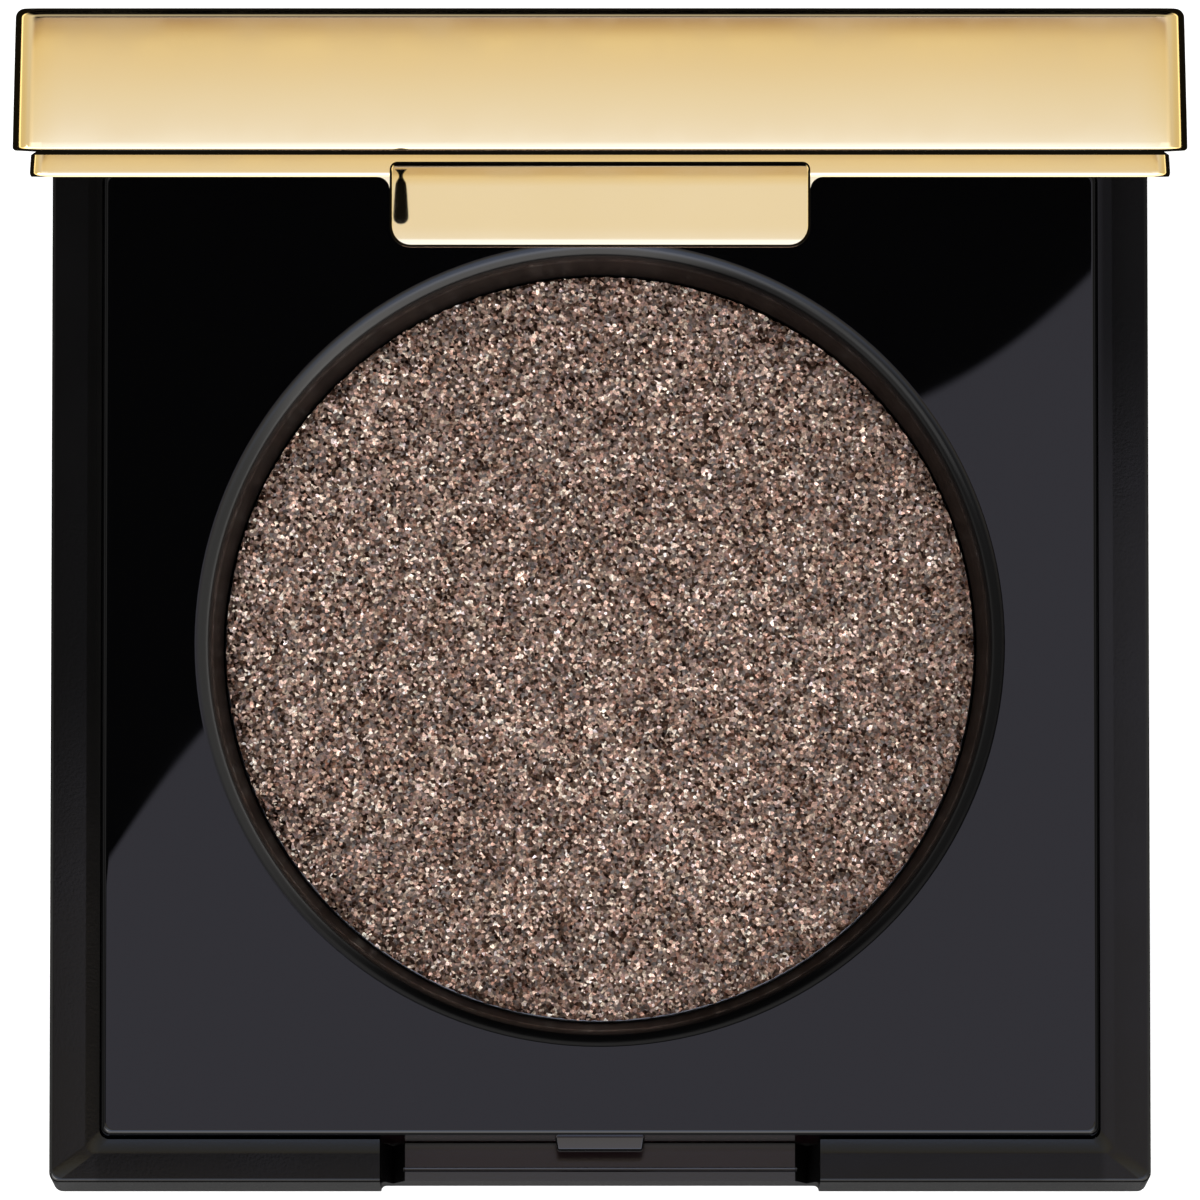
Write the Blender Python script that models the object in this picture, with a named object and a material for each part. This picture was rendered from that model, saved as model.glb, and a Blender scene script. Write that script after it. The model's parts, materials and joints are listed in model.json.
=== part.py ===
"""Square single-shade eyeshadow compact: a black base, a glossy pan tray and a gold hinged lid.

Units are metres, +Z is up.  The origin is the centre of the base's underside.  +Y points at the
hinge, and the snap tab is on the front, at -Y.  The lid is modelled shut and hangs from an empty
on the hinge axis, which holds it open.
"""
import math

import bmesh
import bpy
from mathutils import Matrix, Vector

MM = 0.001

# ---- Case outline and heights (lid shut) ----
CASE_WIDTH = 45.0 * MM
HALF_CASE = CASE_WIDTH / 2
LEDGE_TOP = 6.0 * MM
COVER_RIM = 7.25 * MM
COVER_TOP = 12.7 * MM
CASE_CORNER = 0.4 * MM
ASSEMBLY_GAP = 0.25 * MM

# ---- Base ----
BASE_FLOOR = 1.3 * MM
BASE_TOP_BEVEL = 0.3 * MM
BASE_FOOT_CHAMFER = 0.4 * MM
CHANNEL_WIDTH = 0.6 * MM
CHANNEL_DEPTH = 0.25 * MM
NOTCH_WIDTH = 18.0 * MM
NOTCH_FLOOR = 3.0 * MM
NOTCH_SETBACK = 0.25 * MM

# ---- Pan tray ----
TRAY_HALF_WIDTH = 20.35 * MM
TRAY_FRONT = 20.65 * MM
TRAY_REAR = 18.95 * MM
TRAY_BOTTOM = 1.6 * MM
TRAY_TOP = 7.3 * MM
TRAY_BEVEL = 0.2 * MM
TRAY_SKIRT = 1.2 * MM
TRAY_PLATE = 1.3 * MM
WELL_CENTRE_Y = -0.5 * MM
WELL_RADIUS = 16.0 * MM
WELL_RIM_FILLET = 0.65 * MM
WELL_FLOOR = 2.4 * MM
WELL_WALL = 1.0 * MM
CATCH_WIDTH = 3.8 * MM
CATCH_DEPTH = 0.57 * MM
CATCH_BOTTOM = 5.2 * MM
CATCH_HEIGHT = 0.9 * MM
CATCH_TAPER = 0.15 * MM

# ---- Pan, powder and glue ----
PAN_RADIUS = 15.4 * MM
PAN_WALL = 0.25 * MM
PAN_BOTTOM = 3.0 * MM
PAN_RIM = 4.6 * MM
POWDER_RADIUS = 15.35 * MM
POWDER_BOTTOM = 3.55 * MM
POWDER_TOP = 5.3 * MM
POWDER_BRIM_HEIGHT = 0.45 * MM
POWDER_PLUG_RADIUS = 14.85 * MM
POWDER_EDGE = 0.2 * MM
GLUE_RADIUS = 10.0 * MM
GLUE_BOTTOM = 2.6 * MM
GLUE_THICKNESS = 0.2 * MM

# ---- Underside label ----
LABEL_WIDTH = 24.0 * MM
LABEL_DEPTH = 9.0 * MM
LABEL_CENTRE_Y = -12.0 * MM
LABEL_RECESS = 0.4 * MM
LABEL_LIFT = 0.03 * MM
LABEL_THICKNESS = 0.1 * MM
LABEL_CORNER = 1.0 * MM

# ---- Hinge ----
HINGE_Y = 20.9 * MM
HINGE_Z = 8.6 * MM
REST_OPENING = math.radians(82.5)
KNUCKLE_RADIUS = 1.4 * MM
PIN_RADIUS = 0.5 * MM
PIN_BORE_RADIUS = 0.57 * MM
STATION_CENTRE = 10.5 * MM
LID_KNUCKLE_LENGTH = 3.0 * MM
BASE_LUG_LENGTH = 2.7 * MM
LUG_ROOT = 5.0 * MM
KNUCKLE_SIDE_GAP = 0.3 * MM
PIN_LENGTH = 8.2 * MM
HINGE_WINDOW_GAP = 0.5 * MM
HINGE_WINDOW_TOP = 10.9 * MM

# ---- Lid ----
COVER_DRAFT = math.radians(2.6)
COVER_WALL = 0.8 * MM
COVER_CEILING = 11.7 * MM
COVER_EDGE = 0.35 * MM
FRAME_HALF_WIDTH = 21.4 * MM
FRAME_BORE = 20.85 * MM
FRAME_BORE_FRONT = 21.0 * MM
FRAME_TOP = 11.4 * MM
FRAME_PLATE_BOTTOM = 10.6 * MM
LIP_HALF_WIDTH = 21.85 * MM
LIP_BOTTOM = 6.25 * MM
LIP_TOP = 7.0 * MM
LIP_REAR_END = 20.5 * MM
FRAME_REAR_BOTTOM = 7.6 * MM
KNUCKLE_ARM_FRONT = 20.2 * MM
TAB_WIDTH = 16.1 * MM
TAB_FACE = 22.35 * MM
TAB_BACK = 21.3 * MM
TAB_BOTTOM = 3.55 * MM
TAB_TOP = 6.8 * MM
TAB_CORNER = 0.8 * MM
CATCH_POCKET_WIDTH = 5.0 * MM
CATCH_POCKET_BACK = 21.55 * MM
CATCH_POCKET_BOTTOM = 4.9 * MM
MIRROR_HALF_WIDTH = 20.4 * MM
MIRROR_REAR = 18.9 * MM
MIRROR_BOTTOM = 8.9 * MM
MIRROR_THICKNESS = 1.0 * MM
MIRROR_EDGE = 0.15 * MM
TAPE_HALF_WIDTH = 17.0 * MM
TAPE_REAR = 15.5 * MM
TAPE_BOTTOM = 10.15 * MM
TAPE_THICKNESS = 0.2 * MM

# ---- Facets of round stretches ----
CORNER_STEPS = 3
EDGE_STEPS = 2
WELL_STEPS = 80
PIN_STEPS = 24
SMOOTH_ANGLE = math.radians(35)
CUTTER_OVERSHOOT = 1.0 * MM


# ---------------------------------------------------------------- outlines

def corner_arc(centre_x, centre_y, radius, start_angle, steps):
    """Points of a quarter circle, counter-clockwise."""
    angles = [start_angle + math.pi / 2 * i / steps for i in range(steps + 1)]
    return [(centre_x + radius * math.cos(a), centre_y + radius * math.sin(a)) for a in angles]


def rectangle(left, right, front, rear, radius=CASE_CORNER, steps=CORNER_STEPS):
    """A rectangle with round corners, counter-clockwise from its front right corner."""
    return (corner_arc(right - radius, front + radius, radius, -math.pi / 2, steps)
            + corner_arc(right - radius, rear - radius, radius, 0.0, steps)
            + corner_arc(left + radius, rear - radius, radius, math.pi / 2, steps)
            + corner_arc(left + radius, front + radius, radius, math.pi, steps))


def square(half_width, front=None, rear=None):
    """A rounded square around the origin; its front or rear edge may be at its own distance."""
    front = half_width if front is None else front
    rear = half_width if rear is None else rear
    return rectangle(-half_width, half_width, -front, rear)


def tray_outline(outset):
    """The tray's outline in plan, grown by an outset."""
    return square(TRAY_HALF_WIDTH + outset, TRAY_FRONT + outset, TRAY_REAR + outset)


def circle(radius, steps, centre_y=0.0):
    """A circle about a point on the Y axis, counter-clockwise."""
    angles = [2 * math.pi * i / steps for i in range(steps)]
    return [(radius * math.cos(a), centre_y + radius * math.sin(a)) for a in angles]


def well_circle(radius):
    """A circle about the centre of the well."""
    return circle(radius, WELL_STEPS, WELL_CENTRE_Y)


# ---------------------------------------------------------------- solids

def mesh_object(name, bm):
    """Put a finished bmesh into the scene as an object."""
    mesh = bpy.data.meshes.new(name)
    bm.to_mesh(mesh)
    bm.free()
    obj = bpy.data.objects.new(name, mesh)
    bpy.context.scene.collection.objects.link(obj)
    return obj


def stack(name, sections):
    """A closed solid through a row of (outline, height) sections, with a cap at each end.

    The row runs up the outside of a solid.  It may turn at a rim and run down the inside.
    """
    bm = bmesh.new()
    rings = [[bm.verts.new((x, y, height)) for x, y in outline] for outline, height in sections]
    bm.faces.new(reversed(rings[0]))
    bm.faces.new(rings[-1])
    count = len(rings[0])
    for lower, upper in zip(rings, rings[1:]):
        for i in range(count):
            j = (i + 1) % count
            bm.faces.new((lower[i], lower[j], upper[j], upper[i]))
    return mesh_object(name, bm)


def block(name, left, right, front, rear, bottom, top):
    """A plain box, given by its six faces."""
    outline = [(left, front), (right, front), (right, rear), (left, rear)]
    return stack(name, [(outline, bottom), (outline, top)])


def cross_rod(name, centre_x, length, radius, steps=PIN_STEPS):
    """A round bar along X whose axis is the hinge's."""
    rod = stack(name, [(circle(radius, steps), -length / 2), (circle(radius, steps), length / 2)])
    place = Matrix.Translation((centre_x, HINGE_Y, HINGE_Z))
    rod.data.transform(place @ Matrix.Rotation(math.pi / 2, 4, "Y"))
    return rod


def boolean(target, tool, operation):
    """Combine a hidden tool object with the target."""
    modifier = target.modifiers.new(f"{operation.lower()}_{tool.name}", "BOOLEAN")
    modifier.operation = operation
    modifier.solver = "EXACT"
    modifier.object = tool
    tool.hide_render = True
    tool.display_type = "WIRE"


def cut(target, *cutters):
    for cutter in cutters:
        boolean(target, cutter, "DIFFERENCE")


def join(target, *additions):
    for addition in additions:
        boolean(target, addition, "UNION")


# ---------------------------------------------------------------- materials

def material(name, colour, roughness, metallic=0.0, coat=0.0):
    """A Principled material with the piece's colour and finish."""
    result = bpy.data.materials.new(name)
    result.use_nodes = True
    shader = result.node_tree.nodes["Principled BSDF"]
    shader.inputs["Base Color"].default_value = (*colour, 1.0)
    shader.inputs["Roughness"].default_value = roughness
    shader.inputs["Metallic"].default_value = metallic
    shader.inputs["Coat Weight"].default_value = coat
    return result


def finish_piece(obj, piece_material):
    """Give a piece its material and smooth round faces."""
    obj.data.materials.clear()
    obj.data.materials.append(piece_material)
    obj.data.shade_smooth()
    obj.data.set_sharp_from_angle(angle=SMOOTH_ANGLE)


# ---------------------------------------------------------------- base pieces

def hinge_lug(centre_x):
    """One ear of the base that carries a hinge pin: a neck on the rear deck with a round top."""
    half_length = BASE_LUG_LENGTH / 2
    side = "left" if centre_x < 0 else "right"
    name = f"lug_{side}_{abs(centre_x) / MM:.0f}"
    neck = block(f"{name}_neck", centre_x - half_length, centre_x + half_length,
                 HINGE_Y - KNUCKLE_RADIUS, HINGE_Y + KNUCKLE_RADIUS, LUG_ROOT, HINGE_Z)
    return neck, cross_rod(f"{name}_round", centre_x, BASE_LUG_LENGTH, KNUCKLE_RADIUS)


def lug_centres():
    """X places of the four base lugs, two around each lid knuckle."""
    offset = (LID_KNUCKLE_LENGTH + BASE_LUG_LENGTH) / 2 + KNUCKLE_SIDE_GAP
    return [side * STATION_CENTRE + step * offset for side in (-1, 1) for step in (-1, 1)]


def build_base_case(plastic):
    """The moulded bottom shell: a ledge around the tray pocket, front notch and hinge lugs."""
    base = stack("base_case", [
        (square(HALF_CASE - BASE_FOOT_CHAMFER), 0.0),
        (square(HALF_CASE), BASE_FOOT_CHAMFER),
        (square(HALF_CASE), LEDGE_TOP - BASE_TOP_BEVEL),
        (square(HALF_CASE - BASE_TOP_BEVEL), LEDGE_TOP),
        (tray_outline(ASSEMBLY_GAP + CHANNEL_WIDTH), LEDGE_TOP),
        (tray_outline(ASSEMBLY_GAP), LEDGE_TOP - CHANNEL_DEPTH),
        (tray_outline(ASSEMBLY_GAP), BASE_FLOOR),
    ])
    half_notch = NOTCH_WIDTH / 2
    outside = -HALF_CASE - CUTTER_OVERSHOOT
    notch = block("notch_cutter", -half_notch, half_notch, outside, -TRAY_FRONT,
                  NOTCH_FLOOR, LEDGE_TOP + CUTTER_OVERSHOOT)
    setback = block("notch_setback_cutter", -half_notch, half_notch, outside,
                    -HALF_CASE + NOTCH_SETBACK, -CUTTER_OVERSHOOT, NOTCH_FLOOR + CUTTER_OVERSHOOT)
    half_label = LABEL_WIDTH / 2
    label_front = LABEL_CENTRE_Y - LABEL_DEPTH / 2
    label_outline = rectangle(-half_label, half_label, label_front, label_front + LABEL_DEPTH,
                              LABEL_CORNER)
    label_recess = stack("label_recess_cutter",
                         [(label_outline, -CUTTER_OVERSHOOT), (label_outline, LABEL_RECESS)])
    cut(base, notch, setback, label_recess)
    for centre_x in lug_centres():
        join(base, *hinge_lug(centre_x))
    for side, name in ((-1, "left"), (1, "right")):
        cut(base, cross_rod(f"base_bore_{name}", side * STATION_CENTRE, 2 * PIN_LENGTH, PIN_BORE_RADIUS))
    finish_piece(base, plastic)


def build_pan_tray(plastic):
    """The glossy insert: a top plate with a round well, a skirt, and the catch on its front."""
    tray = stack("pan_tray", [
        (tray_outline(0.0), TRAY_BOTTOM),
        (tray_outline(0.0), TRAY_TOP - TRAY_BEVEL),
        (tray_outline(-TRAY_BEVEL), TRAY_TOP),
    ])
    fillet_steps = 4
    sections = [(well_circle(WELL_RADIUS), WELL_FLOOR)]
    for i in range(fillet_steps + 1):
        angle = math.pi / 2 * i / fillet_steps
        radius = WELL_RADIUS + WELL_RIM_FILLET * (1 - math.cos(angle))
        sections.append((well_circle(radius), TRAY_TOP - WELL_RIM_FILLET * (1 - math.sin(angle))))
    sections.append((well_circle(WELL_RADIUS + WELL_RIM_FILLET), TRAY_TOP + CUTTER_OVERSHOOT))
    well = stack("well_cutter", sections)
    hollow_half = TRAY_HALF_WIDTH - TRAY_SKIRT
    hollow = block("tray_hollow_cutter", -hollow_half, hollow_half, -TRAY_FRONT + TRAY_SKIRT,
                   TRAY_REAR - TRAY_SKIRT, TRAY_BOTTOM - CUTTER_OVERSHOOT, TRAY_TOP - TRAY_PLATE)
    cup_outline = well_circle(WELL_RADIUS + WELL_WALL)
    cup = stack("well_cup_guide", [(cup_outline, TRAY_BOTTOM - 2 * CUTTER_OVERSHOOT),
                                   (cup_outline, TRAY_TOP)])
    cut(hollow, cup)
    cut(tray, well, hollow)

    half_catch = CATCH_WIDTH / 2
    root = -TRAY_FRONT + TRAY_SKIRT / 2
    tip = -TRAY_FRONT - CATCH_DEPTH
    outline = [(half_catch - CATCH_TAPER, tip), (half_catch, -TRAY_FRONT), (half_catch, root),
               (-half_catch, root), (-half_catch, -TRAY_FRONT), (-half_catch + CATCH_TAPER, tip)]
    catch = stack("catch_bump", [(outline, CATCH_BOTTOM), (outline, CATCH_BOTTOM + CATCH_HEIGHT)])
    join(tray, catch)
    finish_piece(tray, plastic)


def build_powder_pan(aluminium):
    """The thin metal pan that the powder is pressed into."""
    inner = PAN_RADIUS - PAN_WALL
    pan = stack("powder_pan", [
        (well_circle(inner), PAN_BOTTOM),
        (well_circle(PAN_RADIUS), PAN_BOTTOM + PAN_WALL),
        (well_circle(PAN_RADIUS), PAN_RIM),
        (well_circle(inner), PAN_RIM),
        (well_circle(inner), PAN_BOTTOM + PAN_WALL),
    ])
    finish_piece(pan, aluminium)


def build_powder_cake(powder):
    """The pressed powder: it fills the pan, covers its rim and has a slightly worn edge."""
    brim = POWDER_TOP - POWDER_BRIM_HEIGHT
    cake = stack("powder_cake", [
        (well_circle(POWDER_PLUG_RADIUS), POWDER_BOTTOM),
        (well_circle(POWDER_PLUG_RADIUS), brim),
        (well_circle(POWDER_RADIUS), brim),
        (well_circle(POWDER_RADIUS), POWDER_TOP - POWDER_EDGE),
        (well_circle(POWDER_RADIUS - POWDER_EDGE), POWDER_TOP),
    ])
    finish_piece(cake, powder)


def build_pan_glue(glue):
    """The spot of adhesive that holds the pan in its well."""
    spot = stack("pan_glue", [(well_circle(GLUE_RADIUS), GLUE_BOTTOM),
                              (well_circle(GLUE_RADIUS), GLUE_BOTTOM + GLUE_THICKNESS)])
    finish_piece(spot, glue)


def build_base_label(paper):
    """A blank sticker in a shallow recess of the underside."""
    half_width = LABEL_WIDTH / 2 - ASSEMBLY_GAP
    half_depth = LABEL_DEPTH / 2 - ASSEMBLY_GAP
    outline = rectangle(-half_width, half_width, LABEL_CENTRE_Y - half_depth, LABEL_CENTRE_Y + half_depth,
                        LABEL_CORNER - ASSEMBLY_GAP)
    label = stack("base_label", [(outline, LABEL_LIFT), (outline, LABEL_LIFT + LABEL_THICKNESS)])
    finish_piece(label, paper)


def build_hinge_pins(steel):
    """Two short steel pins, one through each hinge station."""
    for side, name in ((-1, "hinge_pin_left"), (1, "hinge_pin_right")):
        finish_piece(cross_rod(name, side * STATION_CENTRE, PIN_LENGTH, PIN_RADIUS), steel)


# ---------------------------------------------------------------- lid pieces

def cover_half_width(height):
    """Half the cover's outer width at a height, from the draft of its walls."""
    return HALF_CASE - (height - COVER_RIM) * math.tan(COVER_DRAFT)


def hinge_window(name, centre_x, front, rear, top):
    """A cutter that opens a rear wall around one hinge station."""
    half_width = LID_KNUCKLE_LENGTH / 2 + KNUCKLE_SIDE_GAP + BASE_LUG_LENGTH + HINGE_WINDOW_GAP
    return block(name, centre_x - half_width, centre_x + half_width, front, rear,
                 LIP_BOTTOM - CUTTER_OVERSHOOT, top)


def build_lid_cover(gold):
    """The outer shell of the lid: drafted walls, small round edges, two windows for the hinge."""
    inner = HALF_CASE - COVER_WALL
    sections = [
        (square(inner), COVER_CEILING),
        (square(inner), COVER_RIM),
        (square(HALF_CASE), COVER_RIM),
    ]
    edge_start = COVER_TOP - COVER_EDGE
    for i in range(EDGE_STEPS + 1):
        angle = math.pi / 2 * i / EDGE_STEPS
        inset = COVER_EDGE * (1 - math.cos(angle))
        half_width = cover_half_width(edge_start) - inset
        sections.append((square(half_width), edge_start + COVER_EDGE * math.sin(angle)))
    cover = stack("lid_cover", sections)
    for side, name in ((-1, "left"), (1, "right")):
        cut(cover, hinge_window(f"cover_window_{name}", side * STATION_CENTRE, inner - CUTTER_OVERSHOOT,
                                HALF_CASE + CUTTER_OVERSHOOT, HINGE_WINDOW_TOP))
    finish_piece(cover, gold)
    return cover


def snap_tab():
    """The front tab with round lower corners, and the pocket in its back that holds the catch."""
    half_width = TAB_WIDTH / 2
    corner_x = half_width - TAB_CORNER
    corner_z = TAB_BOTTOM + TAB_CORNER
    outline = (corner_arc(corner_x, corner_z, TAB_CORNER, -math.pi / 2, CORNER_STEPS)
               + [(half_width, TAB_TOP), (-half_width, TAB_TOP)]
               + corner_arc(-corner_x, corner_z, TAB_CORNER, math.pi, CORNER_STEPS))
    tab = stack("snap_tab", [(outline, TAB_BACK), (outline, TAB_FACE)])
    tab.data.transform(Matrix.Rotation(math.pi / 2, 4, "X"))
    half_pocket = CATCH_POCKET_WIDTH / 2
    pocket = block("catch_pocket_cutter", -half_pocket, half_pocket, -CATCH_POCKET_BACK,
                   -FRAME_BORE_FRONT, CATCH_POCKET_BOTTOM, LIP_BOTTOM)
    return tab, pocket


def build_lid_frame(gold):
    """The inner frame of the lid: mirror plate, stepped lip, snap tab and two hinge knuckles."""
    frame = stack("lid_frame", [
        (square(FRAME_BORE, FRAME_BORE_FRONT), FRAME_PLATE_BOTTOM),
        (square(FRAME_BORE, FRAME_BORE_FRONT), LIP_BOTTOM),
        (square(LIP_HALF_WIDTH), LIP_BOTTOM),
        (square(LIP_HALF_WIDTH), LIP_TOP),
        (square(FRAME_HALF_WIDTH), LIP_TOP),
        (square(FRAME_HALF_WIDTH), FRAME_TOP),
    ])
    rear_relief = block("rear_relief_cutter", -HALF_CASE, HALF_CASE, LIP_REAR_END, HALF_CASE,
                        LIP_BOTTOM - CUTTER_OVERSHOOT, FRAME_REAR_BOTTOM)
    cut(frame, rear_relief)
    for side, name in ((-1, "left"), (1, "right")):
        centre_x = side * STATION_CENTRE
        cut(frame, hinge_window(f"frame_window_{name}", centre_x, LIP_REAR_END, HALF_CASE,
                                HINGE_WINDOW_TOP))
        arm = block(f"knuckle_arm_{name}", centre_x - LID_KNUCKLE_LENGTH / 2,
                    centre_x + LID_KNUCKLE_LENGTH / 2, KNUCKLE_ARM_FRONT, FRAME_HALF_WIDTH,
                    HINGE_Z, (FRAME_PLATE_BOTTOM + FRAME_TOP) / 2)
        knuckle = cross_rod(f"lid_knuckle_{name}", centre_x, LID_KNUCKLE_LENGTH, KNUCKLE_RADIUS)
        join(frame, arm, knuckle)
        cut(frame, cross_rod(f"lid_bore_{name}", centre_x, 2 * LID_KNUCKLE_LENGTH, PIN_BORE_RADIUS))
    tab, catch_pocket = snap_tab()
    join(frame, tab)
    cut(frame, catch_pocket)
    finish_piece(frame, gold)
    return frame


def build_mirror(glass):
    """The square mirror in the lid, with a ground edge."""
    bottom = MIRROR_BOTTOM
    top = MIRROR_BOTTOM + MIRROR_THICKNESS
    mirror = stack("mirror", [
        (square(MIRROR_HALF_WIDTH - MIRROR_EDGE, rear=MIRROR_REAR - MIRROR_EDGE), bottom),
        (square(MIRROR_HALF_WIDTH, rear=MIRROR_REAR), bottom + MIRROR_EDGE),
        (square(MIRROR_HALF_WIDTH, rear=MIRROR_REAR), top),
    ])
    finish_piece(mirror, glass)
    return mirror


def build_mirror_tape(foam):
    """The double-sided tape between the mirror and the frame's plate."""
    outline = square(TAPE_HALF_WIDTH, rear=TAPE_REAR)
    tape = stack("mirror_tape", [(outline, TAPE_BOTTOM), (outline, TAPE_BOTTOM + TAPE_THICKNESS)])
    finish_piece(tape, foam)
    return tape


def hang_lid(pieces):
    """Parent the shut lid's pieces to an empty on the hinge axis, and swing it open."""
    axis = bpy.data.objects.new("lid_hinge_axis", None)
    bpy.context.scene.collection.objects.link(axis)
    axis.location = (0.0, HINGE_Y, HINGE_Z)
    axis.rotation_euler = (-REST_OPENING, 0.0, 0.0)
    shift = Matrix.Translation(-Vector(axis.location))
    tools = [modifier.object for piece in pieces for modifier in piece.modifiers]
    for obj in [*pieces, *tools]:
        obj.data.transform(shift)
        obj.parent = axis


def main():
    for obj in list(bpy.data.objects):
        bpy.data.objects.remove(obj, do_unlink=True)

    black_satin = material("black_satin_plastic", (0.012, 0.012, 0.013), 0.32)
    black_gloss = material("black_gloss_plastic", (0.008, 0.008, 0.010), 0.08, coat=0.5)
    gold = material("gold_metallised_plastic", (0.86, 0.66, 0.36), 0.12, metallic=1.0)
    aluminium = material("pan_aluminium", (0.62, 0.62, 0.63), 0.35, metallic=1.0)
    powder = material("taupe_glitter_powder", (0.14, 0.10, 0.08), 0.7)
    glue = material("clear_adhesive", (0.75, 0.72, 0.60), 0.4)
    paper = material("label_paper", (0.82, 0.82, 0.80), 0.6)
    steel = material("pin_steel", (0.55, 0.55, 0.56), 0.3, metallic=1.0)
    glass = material("mirror_glass", (0.88, 0.90, 0.90), 0.02, metallic=1.0)
    foam = material("tape_foam", (0.80, 0.80, 0.78), 0.8)

    build_base_case(black_satin)
    build_pan_tray(black_gloss)
    build_powder_pan(aluminium)
    build_powder_cake(powder)
    build_pan_glue(glue)
    build_base_label(paper)
    build_hinge_pins(steel)
    hang_lid([build_lid_cover(gold), build_lid_frame(gold), build_mirror(glass), build_mirror_tape(foam)])


main()
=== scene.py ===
"""Looks of the square single-shade eyeshadow compact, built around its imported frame.

Every visible piece is a finer mesh that stands for one CAD node.  Lid pieces are modelled shut and
swung open about the hinge by the same angle as the frame's rest pose.
"""
import functools
import json
import math

import bmesh
import bpy
import numpy as np
from mathutils import Matrix, Vector


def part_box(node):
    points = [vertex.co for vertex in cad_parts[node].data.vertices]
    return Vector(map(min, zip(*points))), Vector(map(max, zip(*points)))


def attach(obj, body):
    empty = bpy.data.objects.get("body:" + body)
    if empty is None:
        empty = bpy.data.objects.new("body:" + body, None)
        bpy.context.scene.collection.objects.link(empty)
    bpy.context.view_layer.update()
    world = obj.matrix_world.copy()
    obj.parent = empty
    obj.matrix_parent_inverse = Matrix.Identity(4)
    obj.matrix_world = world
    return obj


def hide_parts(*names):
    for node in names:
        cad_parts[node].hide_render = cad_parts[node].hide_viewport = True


MM = 0.001
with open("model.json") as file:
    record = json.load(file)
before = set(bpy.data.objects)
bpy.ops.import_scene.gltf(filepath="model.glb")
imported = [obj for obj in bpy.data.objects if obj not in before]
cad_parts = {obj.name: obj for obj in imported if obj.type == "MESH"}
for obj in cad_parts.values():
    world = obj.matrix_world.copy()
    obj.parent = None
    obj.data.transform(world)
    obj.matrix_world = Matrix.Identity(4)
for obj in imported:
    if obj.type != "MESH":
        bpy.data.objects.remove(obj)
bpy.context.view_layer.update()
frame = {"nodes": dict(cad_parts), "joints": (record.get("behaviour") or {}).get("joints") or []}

# ---------------------------------------------------------------- places from the frame

HINGE = frame["joints"][0]
AXIS_POINT = Vector(HINGE["pos_m"])
REST_OPENING = -math.radians(HINGE["range_deg"][0])


def swing(angle):
    """The turn about the hinge line that opens the lid by an angle."""
    return (Matrix.Translation(AXIS_POINT) @ Matrix.Rotation(-angle, 4, "X")
            @ Matrix.Translation(-AXIS_POINT))


def shut_box(node):
    """Lowest and highest corner of a lid node with the lid shut."""
    turn = swing(-REST_OPENING)
    points = np.array([turn @ vertex.co for vertex in frame["nodes"][node].data.vertices])
    return Vector(points.min(0)), Vector(points.max(0))


BASE_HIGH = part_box("base_case")[1]
TRAY_LOW, TRAY_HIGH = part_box("pan_tray")
PAN_LOW, PAN_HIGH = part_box("powder_pan")
CAKE_LOW, CAKE_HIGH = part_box("powder_cake")
COVER_LOW, COVER_HIGH = shut_box("lid_cover")
FRAME_LOW, FRAME_HIGH = shut_box("lid_frame")

HALF_CASE = BASE_HIGH.x
LEDGE_TOP = 6.0 * MM
TRAY_TOP = TRAY_HIGH.z
TRAY_HALF = TRAY_HIGH.x
TRAY_REAR = TRAY_HIGH.y
CATCH_TIP = -TRAY_LOW.y
CATCH_DEPTH = 0.57 * MM
TRAY_FRONT = CATCH_TIP - CATCH_DEPTH
WELL_CENTRE_Y = (CAKE_LOW.y + CAKE_HIGH.y) / 2
COVER_RIM = COVER_LOW.z
COVER_TOP = COVER_HIGH.z
LIP_BOTTOM = 6.25 * MM
LIP_HALF = FRAME_HIGH.x
TAB_BOTTOM = FRAME_LOW.z
TAB_TOP = 6.83 * MM
TAB_FACE = -FRAME_LOW.y
TAB_HALF = 8.05 * MM
FRAME_TOP = FRAME_HIGH.z


# ---------------------------------------------------------------- mesh building

def shares(steps):
    """Even steps from zero to one."""
    return [i / steps for i in range(steps + 1)]


def corner_arc(centre_x, centre_y, radius, start_angle, steps, power=2.0):
    """Points of a quarter turn, counter-clockwise: a circle at power 2, eased into its sides above."""
    points = []
    for share in shares(steps):
        angle = start_angle + math.pi / 2 * share
        x, y = math.cos(angle), math.sin(angle)
        reach = (abs(x) ** power + abs(y) ** power) ** (-1 / power)
        points.append((centre_x + radius * x * reach, centre_y + radius * y * reach))
    return points


def rectangle(left, right, front, rear, radius, steps=8, power=2.0):
    """A rectangle with round corners, counter-clockwise from its front right corner."""
    return (corner_arc(right - radius, front + radius, radius, -math.pi / 2, steps, power)
            + corner_arc(right - radius, rear - radius, radius, 0.0, steps, power)
            + corner_arc(left + radius, rear - radius, radius, math.pi / 2, steps, power)
            + corner_arc(left + radius, front + radius, radius, math.pi, steps, power))


def square(half_width, radius, front=None, rear=None, steps=8, power=2.0):
    """A rounded square around the origin; its front or rear edge may be at its own distance."""
    front = half_width if front is None else front
    rear = half_width if rear is None else rear
    return rectangle(-half_width, half_width, -front, rear, radius, steps, power)


def box_outline(box, radius, outset=0.0):
    """The outline in plan of a box, grown by an outset."""
    low, high = box
    return rectangle(low.x - outset, high.x + outset, low.y - outset, high.y + outset, radius)


def tray_outline(outset, radius):
    """The tray's outline in plan, grown by an outset."""
    return square(TRAY_HALF + outset, radius, TRAY_FRONT + outset, TRAY_REAR + outset)


def circle(radius, steps=160, centre_y=0.0):
    """A circle about a point on the Y axis, counter-clockwise."""
    angles = [2 * math.pi * i / steps for i in range(steps)]
    return [(radius * math.cos(a), centre_y + radius * math.sin(a)) for a in angles]


def well_circle(radius, steps=160):
    """A circle about the centre of the well."""
    return circle(radius, steps, WELL_CENTRE_Y)


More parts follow.
